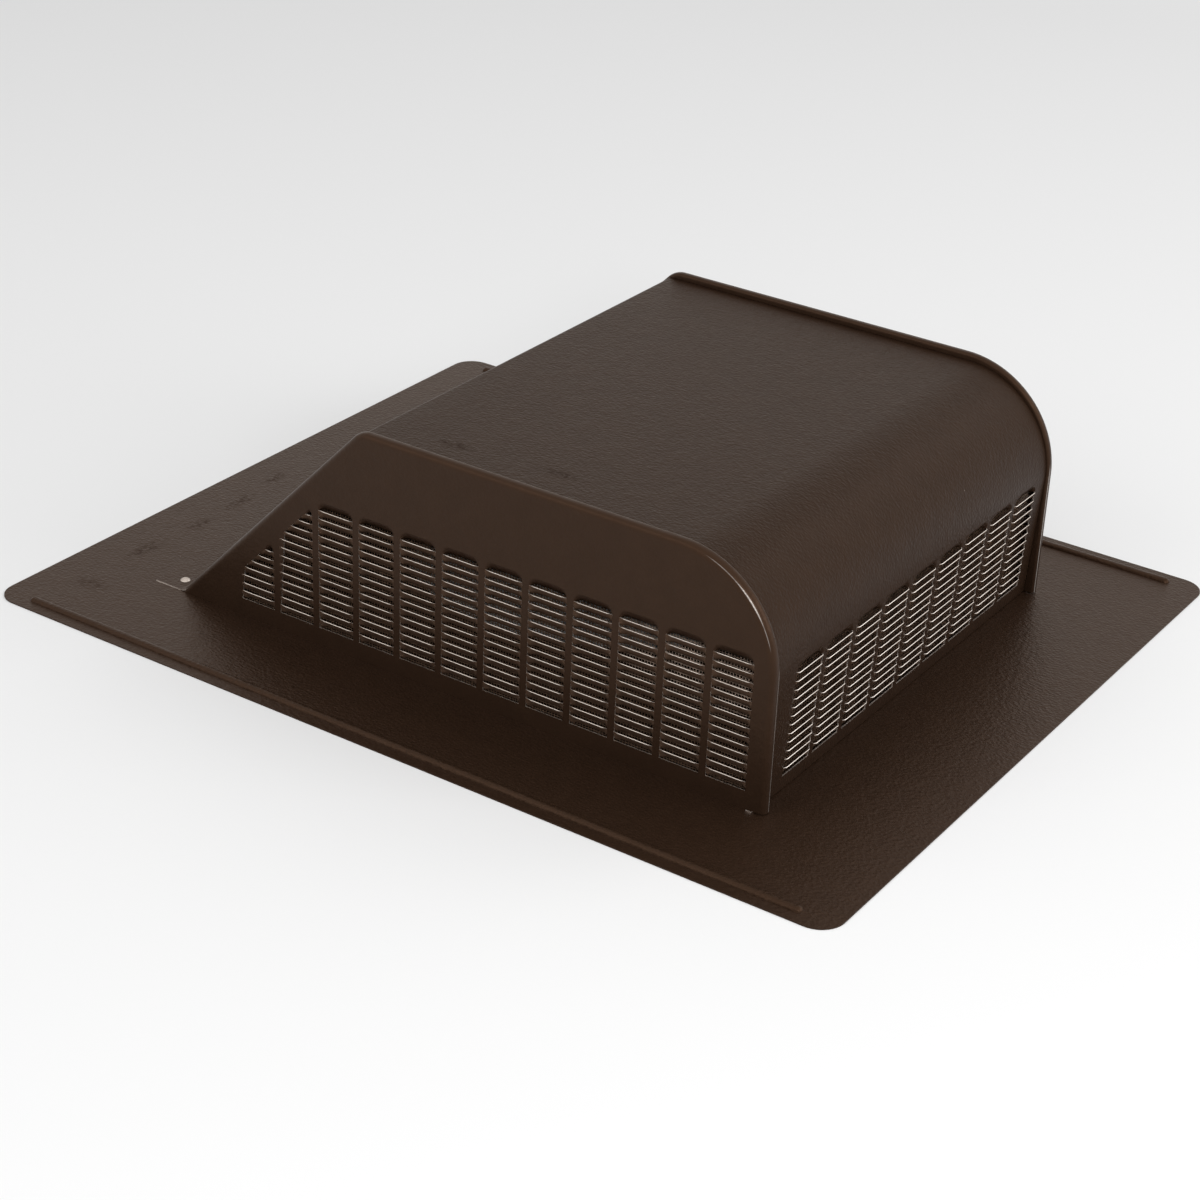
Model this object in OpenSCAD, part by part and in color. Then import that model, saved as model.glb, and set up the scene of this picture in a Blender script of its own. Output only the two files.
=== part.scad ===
// Slant back roof vent: a louvred sheet-metal hood on a flat flashing.
// X runs across the vent, -Y is the louvred front that faces down the roof,
// +Z is up. The origin is the middle of the flashing's underside.

/* [Sheet] */
// Thickness of the aluminium sheet
sheet_t = 0.6; // [0.4:0.1:0.7]
// Gap left between pieces that are folded round each other
fold_gap = 0.2; // [0.1:0.05:0.25]

/* [Flashing] */
// Width of the flashing, across the roof slope
flashing_w = 374; // [340:1:420]
// Depth of the flashing, up the roof slope
flashing_d = 457; // [430:1:500]
// Radius of the flashing's corners
corner_r = 12; // [4:1:25]
// Distance from the flashing's side edge to the middle of its bead
bead_inset = 8; // [6:0.5:15]
// Distance from the flashing's front and rear edges to the end of a bead
bead_end = 17; // [10:1:40]
// Radius of the bead's rounded crest
bead_r = 2.3; // [1.8:0.1:3]
// Height of the bead above the flashing
bead_h = 1.8; // [1:0.1:2.2]

/* [Throat] */
// Diameter of the air opening
throat_d = 203; // [150:1:220]
// Height of the drawn collar round the opening, from the underside
collar_h = 25; // [12:1:40]
// Radius of the bend where the collar leaves the flashing
collar_bend_r = 4; // [2:0.5:8]

/* [Hood] */
// Width over the side panels
hood_w = 259; // [245:1:300]
// Height of the seam's crest above the underside
hood_h = 115; // [108:1:130]
// Where the slant's crest would meet the underside plane, behind the middle
foot_y = 162.7; // [152:0.1:175]
// Distance of the crest's front from the middle
front_y = 163.5; // [158:0.5:175]
// Slope of the back, from level
slant_angle = 46.4; // [43:0.1:51]
// Radius of the hood sheet's curve at the front of the top
sheet_front_r = 47.5; // [42:0.5:49]
// Radius of the hood sheet's bend where the slant meets the top
sheet_rear_r = 3; // [2:0.5:8]
// Distance from the crest's front to the foremost line of the hood sheet
front_set = 1.5; // [1.2:0.1:2.5]
// Lean of the front wall, with its foot to the rear
front_lean = 3.4; // [1:0.1:4]

/* [Seam] */
// Width of the folded seam along the hood's edges
seam_w = 5; // [4:0.1:7]
// Height of the seam above the hood's top
seam_h = 3.5; // [2.5:0.1:4]
// Height of the seam above the slant
slant_seam_h = 1; // [1:0.1:2]
// Radius of the seam's rounded edges
seam_r = 1.6; // [1.2:0.1:2]
// Radius of the crest at the front of the top
crest_front_r = 50; // [45:0.5:52]
// Radius of the crest where the slant meets the top
crest_rear_r = 12; // [9:0.5:16]

/* [Feet] */
// Depth of the rear foot, flat on the flashing
rear_foot_d = 14.8; // [14:0.1:20]
// Radius of the flare between the slant and the rear foot
flare_r = 8; // [3:0.5:12]
// Depth of the front foot, folded in under the hood
front_foot_d = 8; // [5:0.5:12]
// How far the front foot's ends stand out from the side panels
front_foot_proud = 0.4; // [0:0.1:0.8]

/* [Rivets] */
// Diameter of a rivet's head
rivet_head_d = 4.8; // [4:0.1:6]
// Height of a rivet's head
rivet_head_h = 1.2; // [0.8:0.1:2]
// Diameter of a rivet's shank
rivet_d = 2.4; // [2:0.1:3.2]
// Distance from the hood's side to a rivet
rivet_inset = 9; // [6:0.5:20]
// Distance from the rear foot's edge to a rivet
rivet_edge = 11; // [4:0.5:11]

/* [Louvres] */
// Depth to which a slat's lower edge is pressed in
louvre_depth = 3; // [2:0.1:3.6]
// Length over which a slat's end rises to the panel
louvre_end = 2.6; // [1.5:0.1:4]
// Shortest slat that is cut beside the slant
louvre_min = 3; // [3:0.5:8]
// Height of the cut above a slat
louvre_kerf = 0.1; // [0.05:0.05:0.3]

/* [Side louvres] */
// Columns on a side panel
side_cols = 12; // [8:1:12]
// Distance between side columns
side_col_pitch = 23.35; // [22:0.05:23.9]
// Length of a full side slat
side_slat = 19.8; // [15:0.1:20.5]
// Rows in a full side column
side_rows = 15; // [8:1:16]
// Distance between side rows
side_row_pitch = 4.3; // [4:0.01:4.5]
// Height of the lowest side cut above the underside
side_cut_z = 9.8; // [6:0.1:12]
// Distance from the crest's front to the nearest side column
side_field_front = 9.9; // [9:0.1:14]
// Margin between the slant's crest and the slats, measured along the panel
slant_margin = 16; // [13:0.5:22]

/* [Front louvres] */
// Columns on the front
front_cols = 9; // [5:1:9]
// Distance between front columns
front_col_pitch = 25.1; // [23:0.1:26]
// Length of a front slat
front_slat = 21.7; // [16:0.1:22.5]
// Rows in a front column
front_rows = 13; // [6:1:13]
// Distance between front rows
front_row_pitch = 4.3; // [4:0.01:4.4]
// Distance from the underside to the lowest front cut, up along the wall
front_cut_z = 8.1; // [6:0.1:9]
// Distance of the front field's middle from the hood's middle
front_field_x = 3.5; // [-5:0.5:5]

/* [Screen] */
// Gap between the slats' inner edges and the screen
screen_gap = 0.3; // [0.2:0.1:1]
// Thickness of the woven screen
screen_t = 0.5; // [0.3:0.1:0.8]
// Height of the screen's top above the underside
screen_h = 80; // [76:1:90]

/* [Hidden] */
$fn = 40;
overcut = 1;
lap = 0.8;
tip = 0.2;
bend_lap = 0.2;
bend_proud = 0.02;
paint = [0.30, 0.25, 0.22];
bare = [0.80, 0.80, 0.80];

// The crest is the outermost line of the seam, seen from the side.
crest_front = -front_y;
slope_out = [sin(slant_angle), cos(slant_angle)];
slope_down = [cos(slant_angle), -sin(slant_angle)];
front_bend = [crest_front + crest_front_r, hood_h - crest_front_r];
rear_bend_z = hood_h - crest_rear_r;
rear_bend_y = foot_y - crest_rear_r / sin(slant_angle) - rear_bend_z / tan(slant_angle);
rear_bend = [rear_bend_y, rear_bend_z];
slant_top = rear_bend + crest_rear_r * slope_out;

// The hood sheet's outer face: front curve, front wall and rear bend
wall_in = [cos(front_lean), sin(front_lean)];
front_curve = [crest_front + front_set + sheet_front_r, hood_h - seam_h - sheet_front_r];
wall_top = front_curve - sheet_front_r * wall_in;
function wall_y(z) = wall_top[0] + (wall_top[1] - z) * tan(front_lean);
rear_curve_z = hood_h - seam_h - sheet_rear_r;
rear_curve_y = foot_y - (slant_seam_h + sheet_rear_r) / sin(slant_angle) - rear_curve_z / tan(slant_angle);
rear_curve = [rear_curve_y, rear_curve_z];
sheet_slant_top = rear_curve + sheet_rear_r * slope_out;

// Heights of the sheets that lie on each other
flashing_top = sheet_t;
foot_top = 2 * sheet_t;
foot_front = wall_y(flashing_top);
inner_x = hood_w / 2 - sheet_t;

// The flare turns from the slant's outer face to the top of the rear foot.
flare = [
    foot_y + (flare_r - slant_seam_h) / sin(slant_angle) - (foot_top + flare_r) / tan(slant_angle),
    foot_top + flare_r
];
rear_foot_y = flare[0] + rear_foot_d;
rivet_y = rear_foot_y - rivet_edge;
rivet_x = hood_w / 2 - rivet_inset;

side_field_y = crest_front + side_field_front + (side_cols - 1) * side_col_pitch + side_slat;
front_field_w = (front_cols - 1) * front_col_pitch + front_slat;

// Extrudes a shape drawn in Y and Z along X.
module along_x(length) {
    rotate([90, 0, 90]) linear_extrude(length) children();
}

// Part of a ring between two radii and two angles less than 180 degrees apart.
module ring_sector(r_in, r_out, from, to) {
    reach = 2 * r_out;
    middle = (from + to) / 2;
    intersection() {
        difference() {
            circle(r = r_out);
            circle(r = r_in);
        }
        polygon([
            [0, 0],
            reach * [cos(from), sin(from)],
            reach * [cos(middle), sin(middle)],
            reach * [cos(to), sin(to)]
        ]);
    }
}

// The hood's side outline in Y and Z, a given distance inside the crest.
module outline(inset) {
    union() {
        polygon([
            [foot_y - inset / sin(slant_angle), 0],
            slant_top - inset * slope_out,
            rear_bend,
            [rear_bend[0], hood_h - inset],
            [front_bend[0], hood_h - inset],
            front_bend,
            [crest_front + inset, front_bend[1]],
            [crest_front + inset, 0]
        ]);
        translate(rear_bend) circle(r = crest_rear_r - inset);
        translate(front_bend) circle(r = crest_front_r - inset);
    }
}

// The outline of the hood sheet's outer face, a given distance further inside
module sheet_outline(inset) {
    union() {
        polygon([
            [foot_y - (slant_seam_h + inset) / sin(slant_angle), 0],
            sheet_slant_top - inset * slope_out,
            rear_curve,
            [rear_curve[0], hood_h - seam_h - inset],
            [front_curve[0], hood_h - seam_h - inset],
            front_curve,
            wall_top + inset * wall_in,
            [wall_y(0) + inset / wall_in[0], 0]
        ]);
        translate(rear_curve) circle(r = sheet_rear_r - inset);
        translate(front_curve) circle(r = sheet_front_r - inset);
    }
}

// The hem that stands up along the hood sheet's edges, inside the seam
module hem_outline() {
    difference() {
        outline(sheet_t + fold_gap);
        sheet_outline(sheet_t / 2);
        translate([-flashing_d, -overcut]) square([2 * flashing_d, overcut + foot_top]);
    }
}

// The hood sheet's folded section in Y and Z, from rear foot to front foot.
// Its slant ends square where the flare begins.
module hood_section() {
    difference() {
        sheet_outline(0);
        sheet_outline(sheet_t);
        translate([-flashing_d, -overcut]) square([2 * flashing_d, overcut + flashing_top]);
        polygon([flare, flare - 2 * flare_r * slope_out, [flare[0], -flare_r]]);
    }
    translate([foot_front + sheet_t / 2, flashing_top])
        square([front_foot_d - sheet_t / 2, sheet_t]);
    translate(flare)
        ring_sector(flare_r, flare_r + sheet_t, 270 - slant_angle, 270);
    translate([flare[0], flashing_top])
        square([rear_foot_d, sheet_t]);
}

// One column of slats. X is the depth from the panel's face, Y runs along the slats.
// The column ends at y_end, and its lowest cut is at z_cut. Grow 0 gives the hollow
// in front of the slats, grow sheet_t the body that reaches the slats' inner faces.
module louvre_pockets(y_end, slat, z_cut, rows, pitch, grow) {
    cut = grow > 0 ? z_cut : z_cut - louvre_kerf;
    outer = grow > 0 ? sheet_t / 4 : -overcut;
    slope = louvre_end / louvre_depth;
    spread = (grow - outer) * slope;
    ramp = min(1.5 * louvre_end, 0.45 * slat);
    ramp_depth = grow + ramp / slope;
    saw = [
        for (row = [0 : rows - 1])
            each [
                [louvre_depth + grow, cut + row * pitch],
                [grow - tip, cut + (row + 1) * pitch]
            ]
    ];
    intersection() {
        translate([0, y_end + spread + overcut, 0])
            rotate([90, 0, 0])
            linear_extrude(slat + 2 * spread + 2 * overcut)
            polygon(concat([[outer, cut]], saw, [[outer, cut + rows * pitch]]));
        translate([0, 0, cut - overcut])
            linear_extrude(rows * pitch + 2 * overcut)
            polygon([
                [outer, y_end + spread],
                [ramp_depth, y_end - ramp],
                [ramp_depth, y_end - slat + ramp],
                [outer, y_end - slat - spread]
            ]);
    }
}

// Rearmost end of a side slat whose cut is at height z
function slant_end(z) = foot_y - slant_margin - z / tan(slant_angle);

// All the slats of a side panel: columns by the slant lose the rows that reach it.
module side_louvres(grow) {
    for (col = [0 : side_cols - 1]) {
        col_end = side_field_y - col * side_col_pitch;
        full_rows = len([
            for (row = [0 : side_rows - 1])
                if (slant_end(side_cut_z + row * side_row_pitch) >= col_end) row
        ]);
        if (full_rows > 0)
            louvre_pockets(col_end, side_slat, side_cut_z, full_rows, side_row_pitch, grow);
        if (full_rows < side_rows)
            for (row = [full_rows : side_rows - 1]) {
                cut_z = side_cut_z + row * side_row_pitch;
                short = side_slat - (col_end - slant_end(cut_z));
                if (short >= louvre_min)
                    louvre_pockets(slant_end(cut_z), short, cut_z, 1, side_row_pitch, grow);
            }
    }
}

module front_louvres(grow) {
    for (col = [0 : front_cols - 1])
        translate([front_field_x, wall_y(0), 0])
            rotate([front_lean, 0, 0])
            rotate([0, 0, 90])
            louvre_pockets(
                front_field_w / 2 - col * front_col_pitch,
                front_slat, front_cut_z, front_rows, front_row_pitch, grow
            );
}

// The folded seam's section: X goes inwards from the side, Y outwards to the crest.
// Proud makes the folded sheet that much thicker on both faces.
module seam_section(proud = 0) {
    r_in = seam_r - sheet_t - proud;
    r_out = seam_r + proud;
    wall = sheet_t + 2 * proud;
    leg = max(seam_h, wall_y(0) - crest_front) + proud;
    translate([-proud, -seam_r - lap]) square([wall, lap]);
    translate([seam_r, -seam_r]) ring_sector(r_in, r_out, 90, 180);
    translate([seam_r, -sheet_t - proud]) square([seam_w - 2 * seam_r, wall]);
    translate([seam_w - seam_r, -seam_r]) ring_sector(r_in, r_out, 0, 90);
    translate([seam_w - sheet_t - proud, -leg]) square([wall, leg - seam_r]);
}

module seam_run(length) {
    rotate([90, 0, 0]) linear_extrude(length) seam_section();
}

// The seam along a bend of the crest, from a start angle above +Y
module seam_bend(centre, radius, start, turn, proud) {
    translate([0, centre[0], centre[1]])
        rotate([90, 0, 90])
        rotate([0, 0, start])
        rotate_extrude(angle = turn)
        translate([radius, 0])
        mirror([1, -1, 0])
        seam_section(proud);
}

// The seam's runs reach a little way into the tight rear bend, which is proud of them.
// Its inner leg is trimmed to end above the hood sheet.
module seam() {
    slant_length = (slant_top[1] - foot_top) / sin(slant_angle);
    slant_foot = slant_top + slant_length * slope_down;
    top_length = rear_bend[0] - front_bend[0] + bend_lap;
    difference() {
        union() {
            translate([0, slant_foot[0], slant_foot[1]])
                rotate([-slant_angle, 0, 0])
                seam_run(slant_length + bend_lap);
            seam_bend(rear_bend, crest_rear_r, 90 - slant_angle, slant_angle, bend_proud);
            translate([0, front_bend[0] + top_length, hood_h]) seam_run(top_length);
            seam_bend(front_bend, crest_front_r, 90, 90, 0);
            translate([0, crest_front, front_bend[1]])
                rotate([90, 0, 0])
                seam_run(front_bend[1]);
        }
        translate([seam_w / 2, 0, 0]) along_x(seam_w) sheet_outline(-fold_gap);
        translate([-overcut, -flashing_d, -hood_h])
            cube([hood_w, 2 * flashing_d, hood_h + foot_top]);
    }
}

// A side panel with its outer face at X = 0 and the hood towards +X
module side_panel() {
    difference() {
        union() {
            difference() {
                along_x(sheet_t) outline(seam_r + lap / 2);
                translate([-overcut, -flashing_d, -overcut])
                    cube([hood_w, 2 * flashing_d, overcut + flashing_top]);
                translate([-overcut, crest_front, -overcut])
                    cube([hood_w, foot_front - crest_front + front_foot_d + fold_gap, overcut + foot_top]);
            }
            side_louvres(sheet_t);
            seam();
        }
        side_louvres(0);
    }
}

// The body of a bead: a rod with round ends, centred below the flashing's face
module bead(radius) {
    run = flashing_d - 2 * bead_end - 2 * bead_r;
    for (side = [-1, 1])
        translate([side * (flashing_w / 2 - bead_inset), 0, sheet_t + bead_h - bead_r]) {
            rotate([90, 0, 0]) cylinder(r = radius, h = run, center = true);
            for (end = [-1, 1]) translate([0, end * run / 2, 0]) sphere(r = radius);
        }
}

module rivet_places() {
    for (side = [-1, 1]) translate([side * rivet_x, rivet_y, 0]) children();
}

module rivet_holes() {
    rivet_places() translate([0, 0, -overcut]) cylinder(d = rivet_d, h = foot_top + 2 * overcut);
}

module base_flashing() {
    straight_x = flashing_w - 2 * corner_r;
    straight_y = flashing_d - 2 * corner_r;
    bend_r = throat_d / 2 + sheet_t + collar_bend_r;
    bend_z = sheet_t + collar_bend_r;
    color(paint) {
        difference() {
            union() {
                linear_extrude(sheet_t) {
                    square([straight_x, flashing_d], center = true);
                    square([flashing_w, straight_y], center = true);
                    for (sx = [-1, 1], sy = [-1, 1])
                        translate([sx * straight_x / 2, sy * straight_y / 2])
                            circle(r = corner_r);
                }
                bead(bead_r);
            }
            bead(bead_r - sheet_t);
            translate([-flashing_w, -flashing_d, -3 * bead_r])
                cube([2 * flashing_w, 2 * flashing_d, 3 * bead_r]);
            translate([0, 0, -overcut]) cylinder(r = bend_r, h = sheet_t + 2 * overcut);
            rivet_holes();
        }
        rotate_extrude() {
            translate([bend_r, bend_z])
                ring_sector(collar_bend_r, collar_bend_r + sheet_t, 180, 270);
            translate([throat_d / 2, bend_z]) square([sheet_t, collar_h - bend_z]);
        }
    }
}

module hood_sheet() {
    color(paint)
        difference() {
            union() {
                difference() {
                    translate([-inner_x, 0, 0]) along_x(2 * inner_x) hood_section();
                    rivet_holes();
                }
                translate([-hood_w / 2 - front_foot_proud, foot_front + sheet_t / 2, flashing_top])
                    cube([hood_w + 2 * front_foot_proud, front_foot_d - sheet_t / 2, sheet_t]);
                for (side = [0, 1])
                    mirror([side, 0, 0])
                        translate([-inner_x, 0, 0])
                        along_x(sheet_t)
                        hem_outline();
                front_louvres(sheet_t);
            }
            front_louvres(0);
        }
}

module side_panel_left() {
    color(paint) translate([-hood_w / 2, 0, 0]) side_panel();
}

module side_panel_right() {
    color(paint) mirror([1, 0, 0]) translate([-hood_w / 2, 0, 0]) side_panel();
}

// The screen lines the louvred walls in one strip, bent at the front corners.
module insect_screen() {
    back_of_slats = louvre_depth + sheet_t + screen_gap;
    screen_x = hood_w / 2 - back_of_slats;
    screen_front = wall_y(front_cut_z) + back_of_slats;
    color(bare) {
        for (side = [0, 1])
            mirror([side, 0, 0])
                translate([-screen_x, 0, 0])
                along_x(screen_t)
                intersection() {
                    sheet_outline(sheet_t + fold_gap);
                    translate([screen_front, foot_top])
                        square([2 * foot_y, screen_h - foot_top]);
                }
        translate([-screen_x, screen_front, foot_top])
            cube([2 * screen_x, screen_t, screen_h - foot_top]);
    }
}

module rivets() {
    dome_r = (rivet_head_d * rivet_head_d / 4 + rivet_head_h * rivet_head_h) / (2 * rivet_head_h);
    color(bare)
        rivet_places() {
            cylinder(d = rivet_d, h = foot_top);
            translate([0, 0, foot_top])
                intersection() {
                    translate([0, 0, rivet_head_h - dome_r]) sphere(r = dome_r);
                    cylinder(d = rivet_head_d, h = rivet_head_h + overcut);
                }
        }
}

base_flashing();
hood_sheet();
side_panel_left();
side_panel_right();
insect_screen();
rivets();
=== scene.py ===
import math
import bmesh
import bpy
from mathutils import Matrix, Vector
from mathutils.geometry import delaunay_2d_cdt


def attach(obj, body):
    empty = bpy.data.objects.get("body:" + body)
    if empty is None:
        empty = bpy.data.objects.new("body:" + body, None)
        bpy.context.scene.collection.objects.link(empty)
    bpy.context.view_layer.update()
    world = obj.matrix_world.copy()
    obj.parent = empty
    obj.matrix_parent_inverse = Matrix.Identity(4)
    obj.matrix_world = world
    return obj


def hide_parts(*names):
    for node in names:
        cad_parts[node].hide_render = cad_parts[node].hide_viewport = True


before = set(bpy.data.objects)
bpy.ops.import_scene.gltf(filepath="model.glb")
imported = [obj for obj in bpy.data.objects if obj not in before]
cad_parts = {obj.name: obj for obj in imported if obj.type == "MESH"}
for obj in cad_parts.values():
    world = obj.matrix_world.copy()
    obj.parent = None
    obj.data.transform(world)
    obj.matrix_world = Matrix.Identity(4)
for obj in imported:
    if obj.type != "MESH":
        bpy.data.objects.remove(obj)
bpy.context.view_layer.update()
mm = 0.001

# The hood's own sizes in millimetres, as in the part's source
hood = {
    "width": 259.0, "height": 115.0, "footY": 162.7, "frontY": 163.5, "slant": 46.4,
    "sheetFrontR": 47.5, "sheetRearR": 3.0, "frontSet": 1.5, "frontLean": 3.4,
    "sheet": 0.6, "foldGap": 0.2, "rearFoot": 14.8, "flareR": 8.0,
    "frontFoot": 3.6, "frontFootProud": 0.35, "footBendR": 0.9, "footBurr": 0.1,
}
seam = {
    "width": 5.0, "cornerR": 1.6, "shoulderR": 2.6, "arcSwell": 0.6, "topRise": 3.5, "slantRise": 1.0,
    "frontR": 50.0, "rearR": 12.0, "ring": 4.5, "arcSteps": 5, "below": 4.0,
    # painted highlight on the seam's shoulder and inner corner: the turn where it peaks, its reach, and its
    # strengths
    "highlightTurn": 138.0, "highlightReach": 22.0, "highlightMost": 0.84, "highlightLeast": 0.62, "cornerHighlight": 0.8,
}
# How one slat is pressed: its lower edge goes in, its upper edge comes out a little.
# The press draws the metal thinner than the sheet.
slat = {
    "depth": 2.8, "curl": 1.1, "pushCurl": 2.2,
    "sheet": 0.29, "endShare": 0.45, "freeShare": 0.5, "up": 3,
    "capRun": 6.0, "capCurl": 1.4, "capUp": 5,
}
slope = math.radians(hood["slant"])
lean = math.radians(hood["frontLean"])
sheet = hood["sheet"]
footTop = 2 * sheet
halfWidth = hood["width"] / 2
innerX = halfWidth - sheet
crestFront = -hood["frontY"]
slopeOut = Vector((math.sin(slope), math.cos(slope)))  # out of the slant, in Y and Z
slopeDown = Vector((math.cos(slope), -math.sin(slope)))
wallIn = Vector((math.cos(lean), math.sin(lean)))  # in through the front wall
wallUp = Vector((-math.sin(lean), math.cos(lean)))


def bendCentre(rise, topRise, radius):
    # middle of the bend between slant and top, for a face that lies below the crest
    z = hood["height"] - topRise - radius
    return Vector((hood["footY"] - (rise + radius) / math.sin(slope) - z / math.tan(slope), z))


crestRear = bendCentre(0, 0, seam["rearR"])
crestBend = Vector((crestFront + seam["frontR"], hood["height"] - seam["frontR"]))
sheetRear = bendCentre(seam["slantRise"], seam["topRise"], hood["sheetRearR"])
sheetTop = hood["height"] - seam["topRise"]
sheetBend = Vector((crestFront + hood["frontSet"] + hood["sheetFrontR"], sheetTop - hood["sheetFrontR"]))
wallTop = sheetBend - hood["sheetFrontR"] * wallIn
wallFoot = wallTop - wallTop[1] / math.cos(lean) * wallUp
flare = Vector((
    hood["footY"] + (hood["flareR"] - seam["slantRise"]) / math.sin(slope)
    - (footTop + hood["flareR"]) / math.tan(slope),
    footTop + hood["flareR"],
))


def arc(centre, radius, fromDeg, toDeg, steps):
    turns = [math.radians(fromDeg + (toDeg - fromDeg) * i / steps) for i in range(steps + 1)]
    return [centre + radius * Vector((math.cos(a), math.sin(a))) for a in turns]


def between(a, b, steps):
    return [a.lerp(b, i / steps) for i in range(1, steps)]


def smooth(t):
    t = min(max(t, 0.0), 1.0)
    return t * t * (3 - 2 * t)


def newPiece(name, points, faces):
    mesh = bpy.data.meshes.new(name)
    mesh.from_pydata([Vector(p) * mm for p in points], [], faces)
    mesh.update()
    thing = bpy.data.objects.new(name, mesh)
    bpy.context.scene.collection.objects.link(thing)
    return thing


def makePlain(thing):
    # a piece's modifiers give way to their result
    graph = bpy.context.evaluated_depsgraph_get()
    thing.data = bpy.data.meshes.new_from_object(thing.evaluated_get(graph), depsgraph=graph)
    thing.modifiers.clear()


def thicken(thing, finish, thickness=sheet, pressed=False):
    # the outer face becomes sheet metal, painted on its faces and bare on its cut edges
    for material in (finish, bare):
        thing.data.materials.append(material)
    wall = thing.modifiers.new("sheet", "SOLIDIFY")
    wall.thickness = thickness * mm
    wall.offset = -1
    wall.use_even_offset = True
    wall.material_offset_rim = 1
    makePlain(thing)
    faces = thing.data.polygons
    for name, marks in (("rawEdge", [f.material_index == 1 for f in faces]), ("pressed", [pressed] * len(faces))):
        thing.data.attributes.new(name, "BOOLEAN", "FACE").data.foreach_set("value", marks)


def shade(thing, degrees=32):
    thing.data.polygons.foreach_set("use_smooth", [True] * len(thing.data.polygons))
    thing.data.set_sharp_from_angle(angle=math.radians(degrees))


def settle(thing, node):
    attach(thing, "root")
    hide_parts(node)


# Finishes
paintLook = {
    "colour": (0.0210, 0.0112, 0.0066), "roughness": 0.38, "tint": (1.0, 0.6, 0.4),
    "grain": 1.8, "grainDepth": 0.21, "wave": 9.0, "waveDepth": 0.16, "rubColour": -0.35, "rubRough": 0.24,
    # the level of the seam's painted highlight at which the metal colour begins
    "dustRun": 24.0, "dustSize": 0.28, "dustColour": (0.30, 0.26, 0.22), "highlightFrom": 0.45,
}
bareLook = {"colour": (0.72, 0.67, 0.63), "roughness": 0.46}
rivetLook = {"colour": (0.46, 0.42, 0.39), "roughness": 0.32}
# painted shade and light on the wire: its dark brownish colour is partly dull, dusty wire and partly painted shade
# behind the louvres; near the side panels' front ends it turns to a lit colour in patches, painted light where
# light falls in through the front louvres
wireLook = {
    "colour": (0.34, 0.235, 0.17), "roughness": 0.6, "litColour": (0.90, 0.76, 0.66),
    "litX": (112.0, 118.0), "litY": (-70.0, -112.0), "litZ": (32.0, 52.0), "litPatch": 9.0,
}
# rubbed places on the paint: middle, and reach along X and Y, in millimetres
smudges = [
    ((-107, 17, 111.5), (3, 11)), ((-103, -37, 111.5), (3, 9)), ((-150, 201, 0.6), (5, 9)),
    ((-108, 205, 0.6), (13, 5)), ((-71, 203, 0.6), (9, 4)), ((-39, 205, 0.6), (12, 4)), ((-6, 209, 0.6), (8, 4)),
]


def addNode(tree, kind, sources=None, **settings):
    # one node with its settings; each source is a socket to link or a value
    node = tree.nodes.new(kind)
    for key, value in settings.items():
        setattr(node, key, value)
    for socket, source in (sources or {}).items():
        if isinstance(source, bpy.types.NodeSocket):
            tree.links.new(source, node.inputs[socket])
        else:
            node.inputs[socket].default_value = source
    return node


def sums(tree, operation, *values):
    return addNode(tree, "ShaderNodeMath", dict(enumerate(values)), operation=operation).outputs[0]


def spread(tree, value, fromLow, fromHigh, low, high, soft=False):
    return addNode(tree, "ShaderNodeMapRange", {
        "Value": value, "From Min": fromLow, "From Max": fromHigh, "To Min": low, "To Max": high,
    }, interpolation_type="SMOOTHSTEP" if soft else "LINEAR").outputs["Result"]


def noise(tree, place, size, detail, roughness=0.5):
    return addNode(tree, "ShaderNodeTexNoise", {
        "Vector": place, "Scale": 1 / (size * mm), "Detail": detail, "Roughness": roughness,
    }).outputs["Fac"]


def newMaterial(name, look):
    material = bpy.data.materials.new(name)
    material.use_nodes = True
    shader = material.node_tree.nodes["Principled BSDF"]
    shader.inputs["Base Color"].default_value = (*look["colour"], 1)
    shader.inputs["Roughness"].default_value = look["roughness"]
    return material, shader


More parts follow.
